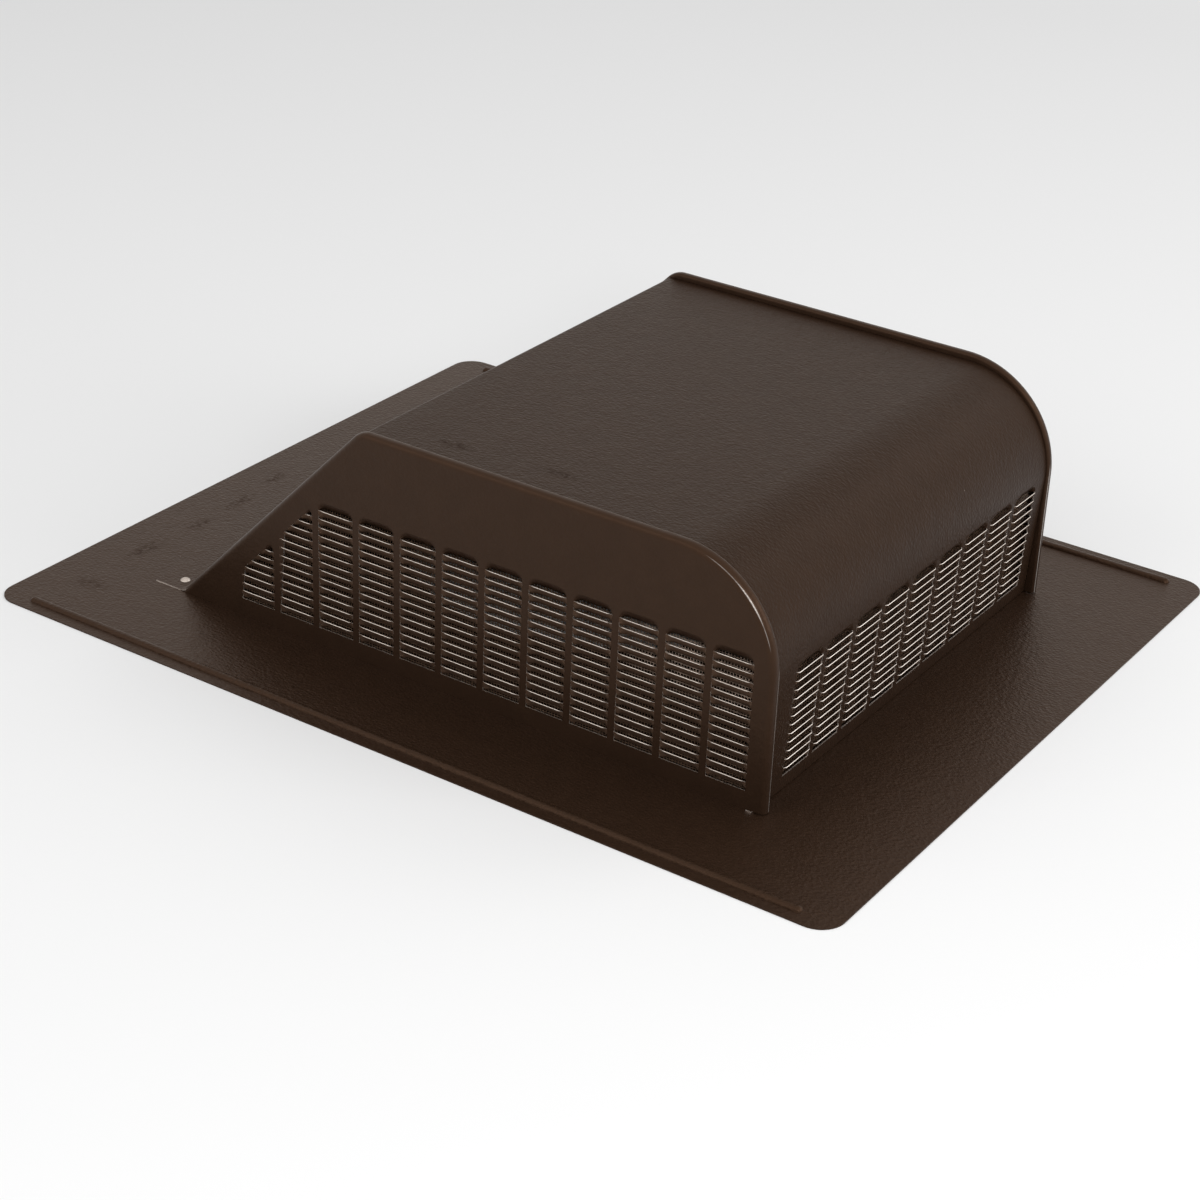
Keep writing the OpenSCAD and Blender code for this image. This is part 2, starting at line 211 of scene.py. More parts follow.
def makePaint(name, look, grainShare, specular):
    material, shader = newMaterial(name, look)
    tree = material.node_tree
    place = addNode(tree, "ShaderNodeTexCoord").outputs["Object"]
    # leathery grain, drawn out a little along Y, over slow dents
    drawn = addNode(tree, "ShaderNodeVectorMath", {0: place, 1: (1.25, 0.8, 1.0)}, operation="MULTIPLY").outputs[0]
    cells = addNode(tree, "ShaderNodeTexVoronoi", {
        "Vector": drawn, "Scale": 1 / (look["grain"] * mm), "Randomness": 1.0,
    }).outputs["Distance"]
    fine = noise(tree, drawn, 0.6 * look["grain"], 2.0)
    slow = noise(tree, place, look["wave"], 3.0)
    grainBump = addNode(tree, "ShaderNodeBump", {
        "Height": sums(tree, "MULTIPLY_ADD", cells, 0.7, fine),
        "Distance": look["grainDepth"] * grainShare * mm, "Strength": 1.0,
    }).outputs["Normal"]
    waveBump = addNode(tree, "ShaderNodeBump", {
        "Height": slow, "Distance": look["waveDepth"] * mm, "Strength": 1.0, "Normal": grainBump,
    }).outputs["Normal"]
    tree.links.new(waveBump, shader.inputs["Normal"])
    # rubbed patches are a little duller and rougher, with ragged borders
    rubbed = 0.0
    for middle, reach in smudges:
        away = addNode(tree, "ShaderNodeVectorMath", {0: place, 1: Vector(middle) * mm}, operation="SUBTRACT").outputs[0]
        share = Vector((1 / reach[0], 1 / reach[1], 0.3)) / mm
        away = addNode(tree, "ShaderNodeVectorMath", {0: away, 1: share}, operation="MULTIPLY").outputs[0]
        far = addNode(tree, "ShaderNodeVectorMath", {0: away}, operation="LENGTH").outputs["Value"]
        rubbed = sums(tree, "ADD", spread(tree, far, 1.3, 0.2, 0.0, 1.0, soft=True), rubbed)
    patchy = noise(tree, place, 3.0, 4.0, 0.7)
    rubbed = sums(tree, "MULTIPLY", rubbed, spread(tree, patchy, 0.40, 0.60, 0.0, 1.0))
    tone = sums(tree, "MULTIPLY_ADD", rubbed, look["rubColour"], spread(tree, slow, 0.3, 0.7, 0.93, 1.07))
    colour = addNode(tree, "ShaderNodeVectorMath", {0: look["colour"], "Scale": tone}, operation="SCALE").outputs[0]
    # a few specks of dust, in some of the cells
    specks = addNode(tree, "ShaderNodeTexVoronoi", {"Vector": place, "Scale": 1 / (look["dustRun"] * mm)}).outputs
    size = look["dustSize"] / look["dustRun"]
    speck = spread(tree, specks["Distance"], size, 0.5 * size, 0.0, 1.0)
    chosen = addNode(tree, "ShaderNodeSeparateXYZ", {0: specks["Color"]}).outputs[0]
    speck = sums(tree, "MULTIPLY", speck, sums(tree, "GREATER_THAN", chosen, 0.55))
    dusty = addNode(tree, "ShaderNodeMix", {
        "Factor": speck, 6: colour, 7: (*look["dustColour"], 1),
    }, data_type="RGBA").outputs[2]
    # painted highlight: bare-metal colour and metalness mixed in where the piece's highlight attribute is high,
    # standing in for a lamp's reflection on the seam's rounded shoulder
    highlighted = addNode(tree, "ShaderNodeAttribute", attribute_name="painted_highlight").outputs["Fac"]
    highlighted = sums(tree, "MULTIPLY", spread(tree, highlighted, look["highlightFrom"], 1.0, 0.0, 1.0), spread(tree, fine, 0.3, 0.55, 0.6, 1.0))
    shown = addNode(tree, "ShaderNodeMix", {
        "Factor": highlighted, 6: dusty, 7: (*bareLook["colour"], 1),
    }, data_type="RGBA").outputs[2]
    tree.links.new(shown, shader.inputs["Base Color"])
    tree.links.new(highlighted, shader.inputs["Metallic"])
    rough = spread(tree, patchy, 0.3, 0.7, look["roughness"] - 0.04, look["roughness"] + 0.05)
    rough = sums(tree, "MULTIPLY_ADD", rubbed, look["rubRough"], rough)
    tree.links.new(rough, shader.inputs["Roughness"])
    shader.inputs["Specular IOR Level"].default_value = specular
    shader.inputs["Specular Tint"].default_value = (*look["tint"], 1)
    return material


def makeMetal(name, look):
    material, shader = newMaterial(name, look)
    tree = material.node_tree
    streaks = noise(tree, addNode(tree, "ShaderNodeTexCoord").outputs["Object"], 0.5, 3.0)
    rough = spread(tree, streaks, 0.3, 0.7, look["roughness"] - 0.08, look["roughness"] + 0.08)
    tree.links.new(rough, shader.inputs["Roughness"])
    bump = addNode(tree, "ShaderNodeBump", {"Height": streaks, "Distance": 0.01 * mm, "Strength": 0.6})
    tree.links.new(bump.outputs["Normal"], shader.inputs["Normal"])
    shader.inputs["Metallic"].default_value = 1
    return material


def paintLightOnWire(material, look):
    tree = material.node_tree
    place = addNode(tree, "ShaderNodeTexCoord").outputs["Object"]
    x, y, z = addNode(tree, "ShaderNodeSeparateXYZ", {0: place}).outputs
    # painted light: the lit colour in noisy patches near the side panels' front ends
    share = spread(tree, noise(tree, place, look["litPatch"], 2.0), 0.35, 0.6, 0.4, 1.0)
    for value, key in ((sums(tree, "ABSOLUTE", x), "litX"), (y, "litY"), (z, "litZ")):
        low, high = look[key]
        share = sums(tree, "MULTIPLY", share, spread(tree, value, low * mm, high * mm, 0.0, 1.0, soft=True))
    colour = addNode(tree, "ShaderNodeMix", {
        "Factor": share, 6: (*look["colour"], 1), 7: (*look["litColour"], 1),
    }, data_type="RGBA").outputs[2]
    tree.links.new(colour, material.node_tree.nodes["Principled BSDF"].inputs["Base Color"])


# each pressed piece's paint: share of the grain and gloss
paint = makePaint("flashing_paint", paintLook, 1.0, 0.26)
hoodPaint = makePaint("hood_paint", paintLook, 1.0, 0.11)
sidePaint = makePaint("side_paint", paintLook, 0.35, 0.26)
# the slats' paint is lighter than the panel's: partly dust in the louvres, partly painted light on the recessed,
# down-facing slat faces
slatPaintDustAndLight = makePaint("slat_paint_dust_and_light", {**paintLook, "colour": (0.062, 0.037, 0.024), "roughness": 0.5}, 0.35, 0.3)
bare = makeMetal("bare", bareLook)
rivetMetal = makeMetal("rivet_metal", rivetLook)
wire = makeMetal("wire", wireLook)
paintLightOnWire(wire, wireLook)
print("materials made")


# The carried-over flashing and rivets
for node, material in (("base_flashing", paint), ("rivets", rivetMetal)):
    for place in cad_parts[node].material_slots:
        place.material = material


# Slats
def slatDepth(near, t, field):
    ease = smooth(near / field["endRun"])
    middle = slat["depth"] * (1 - t) ** slat["curl"] - field["push"] * t ** slat["pushCurl"]
    end = slat["endShare"] * slat["depth"] * max(0.0, 1 - t / slat["freeShare"])
    return middle * ease + end * (1 - ease)


def capDepth(near, t, field):
    reach = min(near / slat["capRun"], 1.0)
    eyebrow = math.sqrt(1 - (1 - reach) ** 2) + 0.001
    rest = max(0.0, 1 - t / eyebrow)
    return slat["depth"] * rest ** slat["capCurl"] * smooth(near / (0.4 * slat["capRun"]))


def slatPiece(name, field, left, leftTop, right, cap=False):
    # X runs along the slat, Y up the panel and Z out of it. The left end may slant with the row.
    run = slat["capRun"] if cap else field["endRun"]
    shares = [0, 0.12, 0.25, 0.45, 0.7, 1] if cap else [0, 0.35, 0.7, 1]
    up = slat["capUp"] if cap else slat["up"]
    depthAt = capDepth if cap else slatDepth
    pitch = field["rowPitch"]
    points = []
    for row in range(up + 1):
        t = row / up
        start = left + (leftTop - left) * t
        length = right - start
        ends = [share * min(run, 0.45 * length) for share in shares]
        for s in ends + [length / 2] + [length - e for e in reversed(ends)]:
            near = min(s, length - s)
            points.append((start + s, t * pitch, -depthAt(near, t, field)))
    across = 2 * len(shares) + 1
    faces = [
        (k, k + 1, k + 1 + across, k + across)
        for row in range(up) for k in range(row * across, (row + 1) * across - 1)
    ]
    thing = newPiece(name, points, faces)
    thicken(thing, field["paint"], slat["sheet"], pressed=not cap)
    if cap:
        # only a cap's lower edge is cut; the rest runs on into the panel
        for face, cut in zip(thing.data.polygons, thing.data.attributes["rawEdge"].data):
            cut.value = cut.value and face.center.y < 0.2 * pitch * mm and abs(face.normal.x) < 0.7
            face.material_index = int(cut.value)
    shade(thing)
    return thing


def addSocket(tree, name, kind, output=False):
    way = "OUTPUT" if output else "INPUT"
    return tree.interface.new_socket(name=name, in_out=way, socket_type="NodeSocket" + kind)


def newTree(name, inputs):
    # a Geometry Nodes group with named inputs beside its own geometry
    tree = bpy.data.node_groups.new(name, "GeometryNodeTree")
    tree.interface.new_socket(name="Geometry", in_out="INPUT", socket_type="NodeSocketGeometry")
    for label, kind in inputs:
        tree.interface.new_socket(name=label, in_out="INPUT", socket_type="NodeSocket" + kind)
    tree.interface.new_socket(name="Geometry", in_out="OUTPUT", socket_type="NodeSocketGeometry")
    return tree, addNode(tree, "NodeGroupInput").outputs


def louvreTree():
    tree, given = newTree("louvres", (
        ("Slat", "Object"), ("Cap", "Object"), ("Columns", "Int"), ("Rows", "Int"),
        ("Column Pitch", "Float"), ("Row Pitch", "Float"), ("Place", "Vector"), ("Turn", "Vector"),
        ("Play", "Float"), ("Seed", "Int"), ("Slat Paint", "Material"), ("Bare", "Material"),
    ))
    fullRows = sums(tree, "SUBTRACT", given["Rows"], 1.0)
    capHeight = sums(tree, "MULTIPLY", fullRows, given["Row Pitch"])
    columnStep = addNode(tree, "ShaderNodeCombineXYZ", {"X": given["Column Pitch"]}).outputs[0]
    rowStep = addNode(tree, "ShaderNodeCombineXYZ", {"Y": given["Row Pitch"]}).outputs[0]
    capRow = addNode(tree, "ShaderNodeCombineXYZ", {"Y": capHeight}).outputs[0]
    columnLine = addNode(tree, "GeometryNodeMeshLine", {"Count": given["Columns"], "Offset": columnStep}).outputs[0]
    rowLine = addNode(tree, "GeometryNodeMeshLine", {"Count": fullRows, "Offset": rowStep}).outputs[0]
    capLine = addNode(tree, "GeometryNodeMeshLine", {
        "Count": given["Columns"], "Start Location": capRow, "Offset": columnStep,
    }).outputs[0]
    grid = addNode(tree, "GeometryNodeInstanceOnPoints", {"Points": columnLine, "Instance": rowLine}).outputs[0]
    places = addNode(tree, "GeometryNodeRealizeInstances", {"Geometry": grid}).outputs[0]
    # no slat stands quite like the next
    play = addNode(tree, "FunctionNodeRandomValue", {"Seed": given["Seed"]}, data_type="FLOAT")
    tree.links.new(sums(tree, "MULTIPLY", given["Play"], -1.0), play.inputs[2])
    tree.links.new(given["Play"], play.inputs[3])
    lift = addNode(tree, "ShaderNodeCombineXYZ", {"Z": play.outputs[1]}).outputs[0]
    places = addNode(tree, "GeometryNodeSetPosition", {"Geometry": places, "Offset": lift}).outputs[0]
    field = addNode(tree, "GeometryNodeJoinGeometry")
    for label, points in (("Slat", places), ("Cap", capLine)):
        shape = addNode(tree, "GeometryNodeObjectInfo", {"Object": given[label]}).outputs["Geometry"]
        row = addNode(tree, "GeometryNodeInstanceOnPoints", {"Points": points, "Instance": shape}).outputs[0]
        tree.links.new(row, field.inputs[0])
    placed = addNode(tree, "GeometryNodeTransform", {
        "Geometry": field.outputs[0], "Translation": given["Place"], "Rotation": given["Turn"],
    }).outputs[0]
    whole = addNode(tree, "GeometryNodeJoinGeometry", {0: given["Geometry"]})
    tree.links.new(placed, whole.inputs[0])
    solid = addNode(tree, "GeometryNodeRealizeInstances", {"Geometry": whole.outputs[0]}).outputs[0]
    # pressed slat faces take the lighter slat paint, partly dust and partly painted light
    for name, finish in (("pressed", "Slat Paint"), ("rawEdge", "Bare")):
        marks = addNode(tree, "GeometryNodeInputNamedAttribute", {"Name": name}, data_type="BOOLEAN")
        solid = addNode(tree, "GeometryNodeSetMaterial", {
            "Geometry": solid, "Selection": marks.outputs["Attribute"], "Material": given[finish],
        }).outputs[0]
    addNode(tree, "NodeGroupOutput", {0: solid})
    return tree


def growNodes(thing, tree, values):
    # runs a tree on a piece and keeps the result as its mesh
    growth = thing.modifiers.new(tree.name, "NODES")
    growth.node_group = tree
    for item in tree.interface.items_tree:
        if item.in_out == "INPUT" and item.name in values:
            growth[item.identifier] = values[item.name]
    makePlain(thing)


def turnOf(along, up):
    out = along.cross(up)
    return Matrix((along, up, out)).transposed().to_euler()


louvres = louvreTree()


def joinInto(thing, others):
    for other in others:
        bm = bmesh.new()
        bm.from_mesh(thing.data)
        bm.from_mesh(other.data)
        bm.to_mesh(thing.data)
        bm.free()
        bpy.data.objects.remove(other)


# Hood sheet: rear foot, slant, top, front curve, louvred wall and front foot
front = {
    "columns": 9, "pitch": 25.1, "slat": 21.7, "rows": 13, "rowPitch": 4.3, "cut": 8.1, "middle": 3.5,
    "push": 0.9, "play": 0.12, "endRun": 1.5, "seed": 4, "paint": hoodPaint,
}
frontLeft = front["middle"] - ((front["columns"] - 1) * front["pitch"] + front["slat"]) / 2
frontTop = front["cut"] + front["rows"] * front["rowPitch"]


def hoodProfile():
    # the outer face in Y and Z, and for each point its height up the wall, or None off it
    wallRun = wallTop[1] / math.cos(lean)
    over = math.degrees((frontTop - wallRun) / hood["sheetFrontR"])
    foot = Vector((flare[0] + hood["rearFoot"], footTop))
    line = [foot] + between(foot, Vector((flare[0], footTop)), 3)
    line += arc(flare, hood["flareR"], 270, 270 - hood["slant"], 10)
    slantTop = sheetRear + hood["sheetRearR"] * slopeOut
    line += between(line[-1], slantTop, 12)
    line += arc(sheetRear, hood["sheetRearR"], 90 - hood["slant"], 90, 6)
    line += between(line[-1], Vector((sheetBend[0], sheetTop)), 14)
    line += arc(sheetBend, hood["sheetFrontR"], 90, 180 + hood["frontLean"] - over, 28)
    heights = [None] * (len(line) - 1) + [frontTop]
    line += arc(sheetBend, hood["sheetFrontR"], 180 + hood["frontLean"] - over, 180 + hood["frontLean"], 2)[1:]
    heights += [frontTop - 0.5 * (frontTop - wallRun), wallRun]
    for i in range(1, 7):
        heights.append(wallRun + (front["cut"] - wallRun) * i / 6)
        line.append(wallFoot + heights[-1] * wallUp)
    r = hood["footBendR"]
    bend = Vector((wallFoot + (sheet + r) / math.cos(lean) * wallUp + r / math.cos(lean) * Vector((1, 0))))
    turn = arc(bend, r, 180 + hood["frontLean"], 270, 5)
    end = Vector((wallFoot[0] + hood["frontFoot"], sheet))
    line += turn + between(turn[-1], end, 2) + [end]
    heights += [None] * (len(line) - len(heights))
    return line, heights


def makeHoodSkin():
    line, heights = hoodProfile()
    footStart = len(line) - 3
    columns = []
    lines = [-halfWidth - hood["frontFootProud"], -innerX, -innerX + seam["width"]]
    for column in range(front["columns"]):
        start = frontLeft + column * front["pitch"]
        columns.append(start)
        lines += [start, start + front["slat"]]
    lines += [innerX - seam["width"], innerX, halfWidth + hood["frontFootProud"]]
    points = [(x, p[0], p[1]) for p in line for x in lines]
    n = len(lines)
    faces = []
    for i in range(len(line) - 1):
        inWindow = heights[i] is not None and heights[i + 1] is not None
        for j in range(n - 1):
            if inWindow and lines[j] in columns:
                continue
            if j in (0, n - 2) and i < footStart:
                continue
            k = i * n + j
            faces.append((k, k + n, k + n + 1, k + 1))
    return newPiece("hood_skin", points, faces)


# Side outline of the crest, shared by the seams, the hems and the side plates
def crestLine():
    slantTop = crestRear + seam["rearR"] * slopeOut
    run = (slantTop[1] + seam["below"]) / math.sin(slope)
    line = [(slantTop + run * (1 - i / 8) * slopeDown, slopeOut) for i in range(8)]
    for centre, radius, start, end, steps in (
        (crestRear, seam["rearR"], 90 - hood["slant"], 90, 8), (crestBend, seam["frontR"], 90, 180, 26),
    ):
        line += [(p, (p - centre) / radius) for p in arc(centre, radius, start, end, steps)]
        if centre is crestRear:
            end = Vector((crestBend[0], hood["height"]))
            line += [(p, Vector((0, 1))) for p in between(line[-1][0], end, 10)]
    end = Vector((crestFront, -seam["below"]))
    line += [(p, Vector((-1, 0))) for p in between(line[-1][0], end, 10) + [end]]
    return line


def outsideSheet(p):
    # how far a point in Y and Z stands outside the hood sheet
    rear = p - sheetRear
    bend = p - sheetBend
    rearTurn = math.degrees(math.atan2(rear[1], rear[0]))
    bendTurn = math.degrees(math.atan2(bend[1], bend[0])) % 360
    if 90 - hood["slant"] <= rearTurn <= 90:
        return rear.length - hood["sheetRearR"]
    if 90 <= bendTurn <= 180 + hood["frontLean"]:
        return bend.length - hood["sheetFrontR"]
    slantSide = rear.dot(slopeOut) - hood["sheetRearR"]
    wallSide = -bend.dot(wallIn) - hood["sheetFrontR"]
    return max(slantSide, p[1] - sheetTop, wallSide)


def sheetInset(p, out, clear):
    # depth below the crest at which the sheet is only that far away
    low, high = 0.0, 8.0
    for _ in range(30):
        middle = (low + high) / 2
        if outsideSheet(p - middle * out) > clear:
            low = middle
        else:
            high = middle
    return low


def shoulderAt(out):
    # the outer shoulder is rounder round the front curve
    return seam["shoulderR"] + seam["arcSwell"] * max(0.0, -2 * out[0] * out[1])


def seamSection(gap, out):
    r, inner, steps = shoulderAt(out), seam["cornerR"], seam["arcSteps"]
    section = [(0, seam["ring"]), (0, (seam["ring"] + r) / 2)]
    for i in range(steps + 1):
        a = math.pi - math.pi / 2 * i / steps
        section.append((r + r * math.cos(a), r - r * math.sin(a)))
    last = math.asin(max(0.0, 1 - gap / inner))
    for i in range(steps + 1):
        a = math.pi / 2 + (last - math.pi / 2) * i / steps
        section.append((seam["width"] - inner + inner * math.cos(a), inner - inner * math.sin(a)))
    x, inset = section[-1]
    section.append((x, max(gap, inset)))
    return section


def strip(line, sectionOf, side=-1):
    # a band along the crest: each station gives its section as X inwards and depth below the crest
    points, faces = [], []
    for p, out in line:
        section = sectionOf(p, out)
        points += [(side * (halfWidth - x), *(p - inset * out)) for x, inset in section]
    n = len(section)
    for i in range(len(line) - 1):
        for k in range(i * n, (i + 1) * n - 1):
            face = (k, k + n, k + n + 1, k + 1)
            faces.append(face if side < 0 else face[::-1])
    return points, faces


def trim(thing, rearZ, frontZ):
    # cuts a band's ends level, behind and before the middle, and closes its doubles
    bm = bmesh.new()
    bm.from_mesh(thing.data)
    for behind, z in ((True, rearZ), (False, frontZ)):
        faces = [f for f in bm.faces if (f.calc_center_median().y > 0) == behind]
        geometry = list({v for f in faces for v in f.verts} | {e for f in faces for e in f.edges}) + faces
        bmesh.ops.bisect_plane(
            bm, geom=geometry, plane_co=(0, 0, z * mm), plane_no=(0, 0, 1), clear_inner=True, dist=1e-7)
    bmesh.ops.remove_doubles(bm, verts=bm.verts, dist=4e-6)
    bmesh.ops.dissolve_degenerate(bm, edges=bm.edges, dist=1e-6)
    bm.to_mesh(thing.data)
    bm.free()


def seamHighlight(out):
    # painted highlight: bright metal colour on the shoulder of the front curve, and on the upright seam's inner
    # corner, in place of a lamp's reflection on the rounded edges
    turn = math.degrees(math.atan2(out[1], out[0])) % 360
    shoulder = seam["highlightMost"] * math.exp(-((turn - seam["highlightTurn"]) / seam["highlightReach"]) ** 2)
    shoulder = max(shoulder, seam["highlightLeast"] * smooth((turn - 85) / 30) * smooth((182 - turn) / 25))
    corner = seam["cornerHighlight"] * smooth((turn - 165) / 15)
    row = [0.0] * (2 * seam["arcSteps"] + 5)
    row[4], row[8], row[9] = shoulder, 0.55 * corner, corner
    return row


crest = crestLine()


def makeHem(side):
    # the hood sheet's edge, turned up inside the seam
    def section(p, out):
        low = sheetInset(p, out, -sheet / 2)
        return [(sheet, low), (sheet, min(low, shoulderAt(out) + hood["foldGap"]))]
    thing = newPiece("hem", *strip(crest, section, side))
    trim(thing, footTop, footTop)
    return thing


skin = makeHoodSkin()
joinInto(skin, [makeHem(-1), makeHem(1)])
thicken(skin, hoodPaint)
for vertex in skin.data.vertices:
    # the shears left the rear foot's side edges turned up to the light
    x, y, z = vertex.co / mm
    if y > hood["footY"] + 1 and z < footTop - 0.5 * sheet and abs(x) > innerX - 0.1:
        vertex.co.x += math.copysign(hood["footBurr"] * mm, x)
frontSlat = slatPiece("front_slat", front, 0, 0, front["slat"])
frontCap = slatPiece("front_cap", front, 0, 0, front["slat"], cap=True)
frontPlace = wallFoot + front["cut"] * wallUp
growNodes(skin, louvres, {
    "Slat": frontSlat, "Cap": frontCap, "Columns": front["columns"], "Rows": front["rows"],
    "Column Pitch": front["pitch"] * mm, "Row Pitch": front["rowPitch"] * mm,
    "Place": Vector((frontLeft, *frontPlace)) * mm,
    "Turn": turnOf(Vector((1, 0, 0)), Vector((0, *wallUp))),
    "Play": front["play"] * mm, "Seed": front["seed"], "Slat Paint": slatPaintDustAndLight, "Bare": bare,
})
# the flared foot has the flashing's gloss
skin.data.materials.append(paint)
for face in skin.data.polygons:
    if face.center.y > (flare[0] - 0.5 * hood["flareR"]) * mm and not skin.data.attributes["rawEdge"].data[face.index].value:
        face.material_index = len(skin.data.materials) - 1
shade(skin)
settle(skin, "hood_sheet")
print("hood sheet made:", len(skin.data.polygons), "faces")

# Side panels: a seam band, a plate with windows and the slats in them
side = {
    "columns": 12, "pitch": 23.35, "slat": 19.8, "rows": 15, "rowPitch": 4.3, "cut": 9.8,
    "fieldFront": 9.9, "slantMargin": 16.0, "shortest": 3.0, "push": 0.45, "play": 0.12,
    "endRun": 2.8, "seed": 9, "clear": 0.02, "paint": sidePaint,
}
sideRear = crestFront + side["fieldFront"] + (side["columns"] - 1) * side["pitch"] + side["slat"]


def sideColumn(column):
    # left ends of a column's cuts, from the lowest up, measured forwards from the field's rear
    start = column * side["pitch"]
    ends = []
    for row in range(side["rows"]):
        z = side["cut"] + row * side["rowPitch"]
        limit = hood["footY"] - side["slantMargin"] - z / math.tan(slope)
        left = max(start, sideRear - limit)
        if start + side["slat"] - left < side["shortest"]:
            break
        ends.append(left)
    topEnd = ends[-1] if len(ends) == side["rows"] else ends[-1] + side["rowPitch"] / math.tan(slope) / 2
    return ends + [topEnd]


def plateFace():
    # the flat of the side panel inside its seam, with one window for each column
    ring = []
    rearZ, frontZ = sheet + side["clear"], footTop + side["clear"]
    for p, out in crest:
        q = p - seam["ring"] * out
        if q[1] > (rearZ if q[0] > 0 else frontZ):
            ring.append(q)
    footBack = hood["footY"] - seam["ring"] / math.sin(slope) - rearZ / math.tan(slope)
    stepY = wallFoot[0] + hood["frontFoot"] + hood["foldGap"]
    loops = [[Vector((footBack, rearZ))] + ring + [
        Vector((crestFront + seam["ring"], frontZ)), Vector((stepY, frontZ)), Vector((stepY, rearZ)),
    ]]
    for column in range(side["columns"]):
        ends = sideColumn(column)
        right = sideRear - column * side["pitch"] - side["slat"]
        top = side["cut"] + (len(ends) - 1) * side["rowPitch"]
        loop = [Vector((right, side["cut"])), Vector((right, top))]
        loop += [
            Vector((sideRear - ends[row], side["cut"] + row * side["rowPitch"]))
            for row in range(len(ends) - 1, -1, -1)
            if row in (0, len(ends) - 1) or ends[row] != ends[row - 1]
        ]
        loops.append(loop[::-1])
    points, outlines = [], []
    for loop in loops:
        outlines.append(list(range(len(points), len(points) + len(loop))))
        points += loop
    out = delaunay_2d_cdt(points, [], outlines, 1, 1e-4)
    faces = [tuple(reversed(f)) for f, owners in zip(out[2], out[5]) if len(owners) == 1]
    return [(-halfWidth, *p) for p in out[0]], faces


def oddSlats():
    # the slats of the columns that the slant shortens, each made to its own length
    made = []
    for column in range(side["columns"]):
        ends = sideColumn(column)
        if len(ends) == side["rows"] + 1 and ends[0] == ends[-1]:
            continue
        right = column * side["pitch"] + side["slat"]
        for row in range(len(ends) - 1):
            thing = slatPiece("odd", side, ends[row], ends[row + 1], right, row == len(ends) - 2)
            thing.data.transform(Matrix.Translation((0, row * side["rowPitch"] * mm, 0)))
            made.append(thing)
    return made


sidePlace = Vector((-halfWidth, sideRear, side["cut"]))
sideTurn = turnOf(Vector((0, -1, 0)), Vector((0, 0, 1)))
seamBand = strip(crest, lambda p, out: seamSection(sheetInset(p, out, hood["foldGap"]), out))
panel = newPiece("side_panel_left_skin", *seamBand)
# the painted highlight, kept on the seam band's points
painted_highlight = [value for _, out in crest for value in seamHighlight(out)]
panel.data.attributes.new("painted_highlight", "FLOAT", "POINT").data.foreach_set("value", painted_highlight)
trim(panel, sheet + side["clear"], footTop + side["clear"])
joinInto(panel, [newPiece("plate", *plateFace())])
bm = bmesh.new()
bm.from_mesh(panel.data)
bmesh.ops.remove_doubles(bm, verts=bm.verts, dist=4e-6)
bm.to_mesh(panel.data)
bm.free()
thicken(panel, sidePaint)
odd = oddSlats()
for thing in odd:
    thing.data.transform(Matrix.Translation(sidePlace * mm) @ sideTurn.to_matrix().to_4x4())
joinInto(panel, odd)
firstFull = next(c for c in range(side["columns"]) if sideColumn(c)[0] == sideColumn(c)[-1])
sideSlat = slatPiece("side_slat", side, 0, 0, side["slat"])
sideCap = slatPiece("side_cap", side, 0, 0, side["slat"], cap=True)
growNodes(panel, louvres, {
    "Slat": sideSlat, "Cap": sideCap, "Columns": side["columns"] - firstFull, "Rows": side["rows"],
    "Column Pitch": side["pitch"] * mm, "Row Pitch": side["rowPitch"] * mm,
    "Place": (sidePlace - Vector((0, firstFull * side["pitch"], 0))) * mm, "Turn": sideTurn,
    "Play": side["play"] * mm, "Seed": side["seed"], "Slat Paint": slatPaintDustAndLight, "Bare": bare,
})
print("worn points:", sum(1 for w in panel.data.attributes["painted_highlight"].data if w.value > 0.3))
mirrored = panel.data.copy()
mirrored.transform(Matrix.Scale(-1, 4, (1, 0, 0)))
mirrored.flip_normals()
otherPanel = bpy.data.objects.new("side_panel_right_skin", mirrored)
bpy.context.scene.collection.objects.link(otherPanel)
for thing, node in ((panel, "side_panel_left"), (otherPanel, "side_panel_right")):
    shade(thing)
    settle(thing, node)
for thing in (frontSlat, frontCap, sideSlat, sideCap):
    bpy.data.objects.remove(thing)
print("side panels made:", len(panel.data.polygons), "faces each")

# Insect screen: wires both ways behind the louvres
cloth = {"pitch": 1.5, "wire": 0.36, "top": 80.0, "gap": 0.3, "sides": 5}


def wireTree():
    tree, given = newTree("wires", (("Wire", "Float"), ("Sides", "Int"), ("Finish", "Material")))
    radius = sums(tree, "MULTIPLY", given["Wire"], 0.5)
    rod = addNode(tree, "GeometryNodeMeshCylinder", {"Vertices": given["Sides"], "Radius": radius, "Depth": 1.0})
    reach = addNode(tree, "GeometryNodeInputNamedAttribute", {"Name": "reach"}, data_type="FLOAT")
    turn = addNode(tree, "GeometryNodeInputNamedAttribute", {"Name": "turn"}, data_type="FLOAT_VECTOR")
    size = addNode(tree, "ShaderNodeCombineXYZ", {"X": 1.0, "Y": 1.0, "Z": reach.outputs["Attribute"]}).outputs[0]
    rods = addNode(tree, "GeometryNodeInstanceOnPoints", {
        "Points": given["Geometry"], "Instance": rod.outputs["Mesh"],
        "Rotation": turn.outputs["Attribute"], "Scale": size,
    }).outputs[0]
    solid = addNode(tree, "GeometryNodeRealizeInstances", {"Geometry": rods}).outputs[0]
    done = addNode(tree, "GeometryNodeSetMaterial", {"Geometry": solid, "Material": given["Finish"]}).outputs[0]
    addNode(tree, "NodeGroupOutput", {0: done})
    return tree


